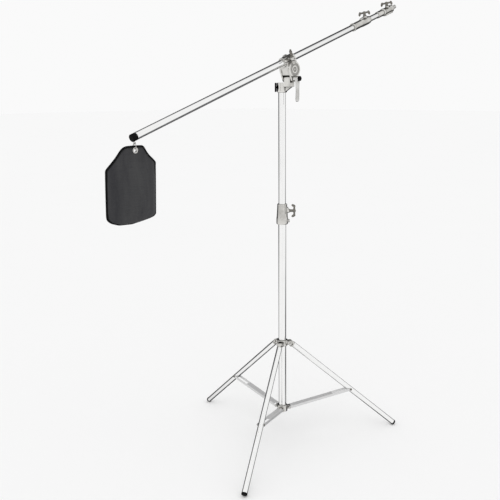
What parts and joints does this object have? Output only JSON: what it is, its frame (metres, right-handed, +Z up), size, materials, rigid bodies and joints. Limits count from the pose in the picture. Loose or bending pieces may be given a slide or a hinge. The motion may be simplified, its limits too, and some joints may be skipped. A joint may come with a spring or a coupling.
{
  "type": "boom light stand",
  "caption": "Light stand with a folding tripod, telescoping column, tilting head and telescoping boom that ends in a lamp stud, balanced by a hanging counterweight bag.",
  "frame": {"origin": "centre of the whole stand's box, on the floor, with the boom in its stored pose", "axes": "+Z up the column; the boom lies in a plane of constant Y and rises towards +X, its light end; +Y from the boom's side to the column's far side"},
  "size_m": [1.6096, 0.829, 1.8879],
  "materials": {
    "polished_steel": "polished stainless tube with faint lengthwise draw lines",
    "satin_casting": "satin plated casting, slightly warm grey",
    "bare_steel": "turned and plated steel fasteners",
    "dark_nickel": "dark nickel plating, glossy",
    "black_plastic": "moulded black plastic, fine matt grain",
    "bag_fabric": "charcoal woven nylon with a black bound edge"
  },
  "bodies": {
    "column": {"column_lower_tube": "polished_steel", "column_end_plug": "black_plastic", "strut_hub": "satin_casting", "column_clamp": "satin_casting", "column_clamp_bolt": "bare_steel"},
    "leg_collar": {"leg_collar": "satin_casting", "leg_pivot_bolt_1": "bare_steel", "leg_pivot_bolt_2": "bare_steel", "leg_pivot_bolt_3": "bare_steel"},
    "leg_1": {"leg_top_fitting_1": "satin_casting", "leg_tube_1": "polished_steel", "foot_plug_1": "black_plastic"},
    "strut_1": {"strut_1": "satin_casting", "strut_hub_pin_1": "bare_steel", "strut_rivet_1a": "dark_nickel", "strut_rivet_1b": "dark_nickel"},
    "leg_2": {"leg_top_fitting_2": "satin_casting", "leg_tube_2": "polished_steel", "foot_plug_2": "black_plastic"},
    "strut_2": {"strut_2": "satin_casting", "strut_hub_pin_2": "bare_steel", "strut_rivet_2a": "dark_nickel", "strut_rivet_2b": "dark_nickel"},
    "leg_3": {"leg_top_fitting_3": "satin_casting", "leg_tube_3": "polished_steel", "foot_plug_3": "black_plastic"},
    "strut_3": {"strut_3": "satin_casting", "strut_hub_pin_3": "bare_steel", "strut_rivet_3a": "dark_nickel", "strut_rivet_3b": "dark_nickel"},
    "leg_collar_screw": {"leg_collar_screw": "satin_casting"},
    "column_clamp_screw": {"column_clamp_screw": "dark_nickel"},
    "column_upper": {"column_upper_tube": "polished_steel", "column_inner_plug": "black_plastic"},
    "head": {"head_socket": "satin_casting"},
    "socket_lock_knob": {"socket_lock_knob": "black_plastic"},
    "yoke": {"tilt_yoke": "satin_casting", "boom_clamp_cap": "satin_casting", "boom_clamp_hinge_pin": "bare_steel", "tilt_washer_rear": "dark_nickel", "tilt_washer_front": "dark_nickel", "tilt_bolt": "bare_steel"},
    "tilt_lever": {"tilt_lever": "polished_steel", "tilt_lever_cap": "black_plastic"},
    "boom_clamp_screw": {"boom_clamp_screw": "dark_nickel"},
    "boom": {"boom_outer_tube": "polished_steel", "boom_end_cap": "black_plastic", "bag_screw_eye": "bare_steel", "boom_collar": "satin_casting"},
    "boom_collar_screw": {"boom_collar_screw": "dark_nickel"},
    "boom_inner": {"boom_inner_tube": "polished_steel", "boom_inner_bush": "black_plastic", "stud_sleeve": "satin_casting", "stud_holder": "satin_casting"},
    "stud_holder_screw": {"stud_holder_screw": "dark_nickel"},
    "light_stud": {"light_stud": "bare_steel"},
    "bag_link": {"bag_link": "bare_steel"},
    "bag": {"counterweight_bag": "bag_fabric", "bag_grommet": "bare_steel"}
  },
  "joints": [
    {"name": "leg_collar_slide", "type": "slide", "parent": "column", "child": "leg_collar", "axis": [0, 0, 1], "range_m": [0, 0.3521]},
    {"name": "leg_fold_1", "type": "hinge", "parent": "leg_collar", "child": "leg_1", "pos_m": [0.1072, -0.13415, 0.4348], "axis": [0.5548, 0.832, 0], "range_deg": [0, 45.8]},
    {"name": "strut_fold_1", "type": "hinge", "parent": "column", "child": "strut_1", "pos_m": [0.10271, -0.13115, 0.138], "axis": [-0.5548, -0.832, 0], "range_deg": [0, 73.8]},
    {"name": "leg_fold_2", "type": "hinge", "parent": "leg_collar", "child": "leg_2", "pos_m": [0.08003, -0.07918, 0.4348], "axis": [-0.9979, 0.0645, 0], "range_deg": [0, 45.8]},
    {"name": "strut_fold_2", "type": "hinge", "parent": "column", "child": "strut_2", "pos_m": [0.07969, -0.08457, 0.138], "axis": [0.9979, -0.0645, 0], "range_deg": [0, 73.8]},
    {"name": "leg_fold_3", "type": "hinge", "parent": "leg_collar", "child": "leg_3", "pos_m": [0.04601, -0.13019, 0.4348], "axis": [0.4431, -0.8965, 0], "range_deg": [0, 45.8]},
    {"name": "strut_fold_3", "type": "hinge", "parent": "column", "child": "strut_3", "pos_m": [0.05085, -0.1278, 0.138], "axis": [-0.4431, 0.8965, 0], "range_deg": [0, 73.8]},
    {"name": "leg_collar_screw_turn", "type": "hinge", "parent": "leg_collar", "child": "leg_collar_screw", "pos_m": [0.08429, -0.16105, 0.4388], "axis": [0.1392, -0.9903, 0], "continuous": true},
    {"name": "column_extend", "type": "slide", "parent": "column", "child": "column_upper", "axis": [0, 0, 1], "range_m": [-0.44, 0.235]},
    {"name": "column_clamp_screw_turn", "type": "hinge", "parent": "column", "child": "column_clamp_screw", "pos_m": [0.10989, -0.15281, 1.008], "axis": [0.6428, -0.766, 0], "continuous": true},
    {"name": "head_pan", "type": "hinge", "parent": "column_upper", "child": "head", "pos_m": [0.07775, -0.11451, 1.5], "axis": [0, 0, 1], "continuous": true},
    {"name": "socket_knob_turn", "type": "hinge", "parent": "head", "child": "socket_lock_knob", "pos_m": [0.06089, -0.09605, 1.506], "axis": [-0.6743, 0.7385, 0], "continuous": true},
    {"name": "boom_tilt", "type": "hinge", "parent": "head", "child": "yoke", "pos_m": [0.07775, -0.15151, 1.539], "axis": [0, -1, 0], "range_deg": [-38, 35]},
    {"name": "tilt_lever_turn", "type": "hinge", "parent": "yoke", "child": "tilt_lever", "pos_m": [0.07775, -0.19451, 1.539], "axis": [0, -1, 0], "range_deg": [-90, 90]},
    {"name": "boom_clamp_screw_turn", "type": "hinge", "parent": "yoke", "child": "boom_clamp_screw", "pos_m": [0.05757, -0.17901, 1.63794], "axis": [-0.3338, 0, 0.9426], "continuous": true},
    {"name": "boom_slide", "type": "slide", "parent": "yoke", "child": "boom", "axis": [0.9426, 0, 0.3338], "range_m": [-0.4, 0.58]},
    {"name": "boom_collar_screw_turn", "type": "hinge", "parent": "boom", "child": "boom_collar_screw", "pos_m": [0.56816, -0.15151, 1.82437], "axis": [-0.3338, 0, 0.9426], "continuous": true},
    {"name": "boom_extend", "type": "slide", "parent": "boom", "child": "boom_inner", "axis": [0.9426, 0, 0.3338], "range_m": [-0.058, 0.42]},
    {"name": "stud_holder_screw_turn", "type": "hinge", "parent": "boom_inner", "child": "stud_holder_screw", "pos_m": [0.73479, -0.15151, 1.87807], "axis": [-0.3338, 0, 0.9426], "continuous": true},
    {"name": "light_stud_slide", "type": "slide", "parent": "boom_inner", "child": "light_stud", "axis": [0.9426, 0, 0.3338], "range_m": [0, 0.015]},
    {"name": "bag_link_swing", "type": "hinge", "parent": "boom", "child": "bag_link", "pos_m": [-0.68103, -0.15151, 1.32329], "axis": [0, -1, 0], "range_deg": [-36, 39]},
    {"name": "bag_swing", "type": "hinge", "parent": "bag_link", "child": "bag", "pos_m": [-0.68103, -0.15151, 1.30469], "axis": [0, -1, 0], "range_deg": [-16, 16]}
  ],
  "couplings": [
    {"joint": "leg_fold_1", "follows": "leg_collar_slide", "rad_per_m": 2.2696},
    {"joint": "strut_fold_1", "follows": "leg_collar_slide", "rad_per_m": 3.6556},
    {"joint": "leg_fold_2", "follows": "leg_collar_slide", "rad_per_m": 2.2696},
    {"joint": "strut_fold_2", "follows": "leg_collar_slide", "rad_per_m": 3.6556},
    {"joint": "leg_fold_3", "follows": "leg_collar_slide", "rad_per_m": 2.2696},
    {"joint": "strut_fold_3", "follows": "leg_collar_slide", "rad_per_m": 3.6556},
    {"joint": "bag_link_swing", "follows": "boom_tilt", "ratio": -1}
  ]
}
